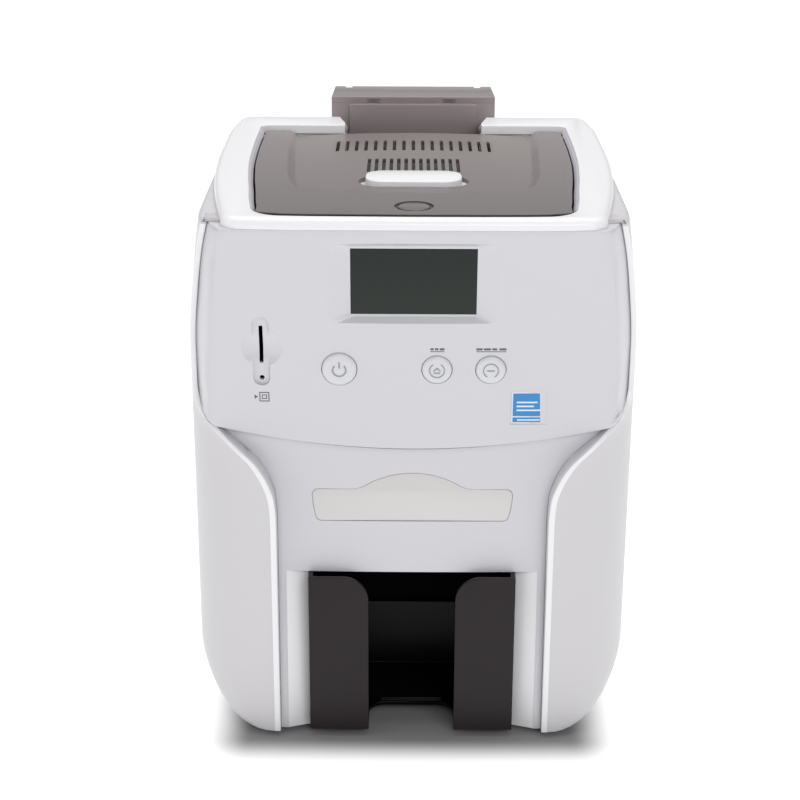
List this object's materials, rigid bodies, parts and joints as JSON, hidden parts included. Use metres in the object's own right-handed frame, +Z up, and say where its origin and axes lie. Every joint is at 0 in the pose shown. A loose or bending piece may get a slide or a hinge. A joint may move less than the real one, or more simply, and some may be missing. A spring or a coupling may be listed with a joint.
{
  "type": "id card printer",
  "caption": "Desktop card printer with a hinged smoke cover, lift-out rear card hopper with lid and card weight, pull-out front stacker, push buttons and a full roller, gear and ribbon drive.",
  "frame": {"origin": "centre of the footprint on the table, under the middle of the overall box", "axes": "+Z up, -Y is the front with the display and the stacker, +X is to the right as seen from the front"},
  "size_m": [0.215, 0.288, 0.27],
  "materials": {
    "white_plastic": "satin-gloss moulded plastic, cool white, very fine texture",
    "smoke_plastic": "glossy smoke-grey plastic",
    "dark_smoke": "dark smoke plastic, satin",
    "black_plastic": "matt black moulded plastic",
    "rubber": "dark rubber",
    "sheet_steel": "plated sheet steel",
    "socket_metal": "bright plated steel",
    "head_ceramic": "ceramic and white plastic",
    "display_glass": "dark clear acrylic window",
    "circuit_board": "green solder mask",
    "label_cream": "cream printed plastic",
    "sticker_blue": "glossy printed film",
    "ribbon": "dark print film on plastic cores",
    "brass": "turned brass",
    "gear_plastic": "natural nylon"
  },
  "bodies": {
    "root": {"base_tray": "black_plastic", "foot_front_left": "rubber", "foot_front_right": "rubber", "foot_rear_left": "rubber", "foot_rear_right": "rubber", "bay_liner": "black_plastic", "chassis_left": "sheet_steel", "chassis_right": "sheet_steel", "strike_bar": "sheet_steel", "card_guide": "black_plastic", "top_rim": "white_plastic", "front_panel": "white_plastic", "lower_front_panel": "white_plastic", "label_plate": "label_cream", "side_cover_left": "white_plastic", "side_cover_right": "white_plastic", "rear_cover": "white_plastic", "hinge_pin_left": "sheet_steel", "hinge_pin_right": "sheet_steel", "lcd_window": "display_glass", "lcd_module": "circuit_board", "control_board": "circuit_board", "card_reader": "black_plastic", "sticker": "sticker_blue", "ribbon_film": "ribbon", "drive_motor": "sheet_steel", "drive_belt": "rubber", "main_board": "circuit_board", "power_supply": "sheet_steel", "fan_frame": "black_plastic", "power_inlet": "black_plastic", "usb_port": "socket_metal", "network_port": "socket_metal"},
    "top_cover": {"top_cover": "smoke_plastic"},
    "release_button": {"release_button": "white_plastic"},
    "lock_button": {"lock_button": "smoke_plastic"},
    "latch_hook": {"latch_hook": "white_plastic"},
    "power_button": {"power_button": "white_plastic"},
    "eject_button": {"eject_button": "white_plastic"},
    "ribbon_button": {"ribbon_button": "white_plastic"},
    "stacker": {"stacker": "dark_smoke"},
    "hopper": {"hopper_body": "smoke_plastic"},
    "hopper_lid": {"hopper_lid": "smoke_plastic"},
    "card_weight": {"card_weight": "sheet_steel"},
    "print_head": {"head_bracket": "sheet_steel", "print_head": "head_ceramic"},
    "platen_roller": {"platen_roller": "rubber"},
    "exit_roller": {"exit_roller": "rubber"},
    "feed_roller": {"feed_roller": "rubber"},
    "pick_roller": {"pick_roller": "rubber"},
    "cleaning_roller": {"cleaning_roller": "rubber"},
    "exit_pinch_roller": {"exit_pinch_roller": "rubber"},
    "supply_spool": {"supply_spool": "ribbon"},
    "takeup_spool": {"takeup_spool": "ribbon"},
    "motor_pinion": {"motor_pinion": "brass"},
    "idler_low": {"idler_low": "gear_plastic"},
    "idler_front": {"idler_front": "gear_plastic"},
    "idler_rear": {"idler_rear": "gear_plastic"},
    "fan_rotor": {"fan_rotor": "black_plastic"},
    "power_switch": {"power_switch": "black_plastic"}
  },
  "joints": [
    {"name": "cover_hinge", "type": "hinge", "parent": "root", "child": "top_cover", "pos_m": [0, 0.05, 0.254], "axis": [-1, 0, 0], "range_deg": [0, 78]},
    {"name": "release_press", "type": "slide", "parent": "top_cover", "child": "release_button", "axis": [0, 0, -1], "range_m": [0, 0.0025], "stiffness_N_per_m": 800, "springref_m": -0.0005},
    {"name": "lock_press", "type": "slide", "parent": "top_cover", "child": "lock_button", "axis": [0, 0, -1], "range_m": [0, 0.0025], "stiffness_N_per_m": 800, "springref_m": -0.0005},
    {"name": "latch_swing", "type": "hinge", "parent": "top_cover", "child": "latch_hook", "pos_m": [0, -0.078, 0.2502], "axis": [-1, 0, 0], "range_deg": [0, 10.4]},
    {"name": "power_press", "type": "slide", "parent": "root", "child": "power_button", "axis": [0, 0.9961, 0.0884], "range_m": [0, 0.0015], "stiffness_N_per_m": 900, "springref_m": -0.0005},
    {"name": "eject_press", "type": "slide", "parent": "root", "child": "eject_button", "axis": [0, 0.9961, 0.0884], "range_m": [0, 0.0015], "stiffness_N_per_m": 900, "springref_m": -0.0005},
    {"name": "ribbon_press", "type": "slide", "parent": "root", "child": "ribbon_button", "axis": [0, 0.9961, 0.0884], "range_m": [0, 0.0015], "stiffness_N_per_m": 900, "springref_m": -0.0005},
    {"name": "stacker_slide", "type": "slide", "parent": "root", "child": "stacker", "axis": [0, -1, 0], "range_m": [0, 0.066]},
    {"name": "hopper_lift", "type": "slide", "parent": "root", "child": "hopper", "axis": [0, 0, 1], "range_m": [0, 0.06]},
    {"name": "hopper_lid_hinge", "type": "hinge", "parent": "hopper", "child": "hopper_lid", "pos_m": [0, 0.1398, 0.26265], "axis": [-1, 0, 0], "range_deg": [0, 95]},
    {"name": "weight_slide", "type": "slide", "parent": "hopper", "child": "card_weight", "axis": [0, 0, 1], "range_m": [0, 0.058]},
    {"name": "head_lift", "type": "hinge", "parent": "root", "child": "print_head", "pos_m": [0, 0.016, 0.198], "axis": [-1, 0, 0], "range_deg": [0, 35]},
    {"name": "exit_roller_turn", "type": "hinge", "parent": "root", "child": "exit_roller", "pos_m": [0, -0.054, 0.1675], "axis": [1, 0, 0], "continuous": true},
    {"name": "platen_roller_turn", "type": "hinge", "parent": "root", "child": "platen_roller", "pos_m": [0, -0.009, 0.1675], "axis": [1, 0, 0], "continuous": true},
    {"name": "feed_roller_turn", "type": "hinge", "parent": "root", "child": "feed_roller", "pos_m": [0, 0.036, 0.1675], "axis": [1, 0, 0], "continuous": true},
    {"name": "pick_roller_turn", "type": "hinge", "parent": "root", "child": "pick_roller", "pos_m": [0, 0.1, 0.1595], "axis": [1, 0, 0], "continuous": true},
    {"name": "idler_front_turn", "type": "hinge", "parent": "root", "child": "idler_front", "pos_m": [0, -0.0315, 0.1675], "axis": [1, 0, 0], "continuous": true},
    {"name": "idler_rear_turn", "type": "hinge", "parent": "root", "child": "idler_rear", "pos_m": [0, 0.0135, 0.1675], "axis": [1, 0, 0], "continuous": true},
    {"name": "idler_low_turn", "type": "hinge", "parent": "root", "child": "idler_low", "pos_m": [0, 0.0135, 0.145], "axis": [1, 0, 0], "continuous": true},
    {"name": "motor_pinion_turn", "type": "hinge", "parent": "root", "child": "motor_pinion", "pos_m": [0, 0.0135, 0.127], "axis": [1, 0, 0], "continuous": true},
    {"name": "cleaning_roller_turn", "type": "hinge", "parent": "root", "child": "cleaning_roller", "pos_m": [0, 0.036, 0.1838], "axis": [1, 0, 0], "continuous": true},
    {"name": "exit_pinch_roller_turn", "type": "hinge", "parent": "root", "child": "exit_pinch_roller", "pos_m": [0, -0.054, 0.1828], "axis": [1, 0, 0], "continuous": true},
    {"name": "supply_spool_turn", "type": "hinge", "parent": "root", "child": "supply_spool", "pos_m": [0, 0.036, 0.216], "axis": [1, 0, 0], "continuous": true},
    {"name": "takeup_spool_turn", "type": "hinge", "parent": "root", "child": "takeup_spool", "pos_m": [0, -0.044, 0.212], "axis": [1, 0, 0], "continuous": true},
    {"name": "fan_turn", "type": "hinge", "parent": "root", "child": "fan_rotor", "pos_m": [0.038, 0.136, 0.108], "axis": [0, 1, 0], "continuous": true},
    {"name": "switch_rock", "type": "hinge", "parent": "root", "child": "power_switch", "pos_m": [-0.014, 0.138, 0.04], "axis": [1, 0, 0], "range_deg": [-8, 8]}
  ],
  "couplings": [
    {"joint": "latch_swing", "follows": "release_press", "rad_per_m": 72},
    {"joint": "exit_roller_turn", "follows": "feed_roller_turn", "ratio": 1},
    {"joint": "platen_roller_turn", "follows": "feed_roller_turn", "ratio": 1},
    {"joint": "pick_roller_turn", "follows": "feed_roller_turn", "ratio": 1},
    {"joint": "idler_front_turn", "follows": "feed_roller_turn", "ratio": -1.1429},
    {"joint": "idler_rear_turn", "follows": "feed_roller_turn", "ratio": -1.1429},
    {"joint": "idler_low_turn", "follows": "feed_roller_turn", "ratio": 1},
    {"joint": "motor_pinion_turn", "follows": "feed_roller_turn", "ratio": -2}
  ]
}
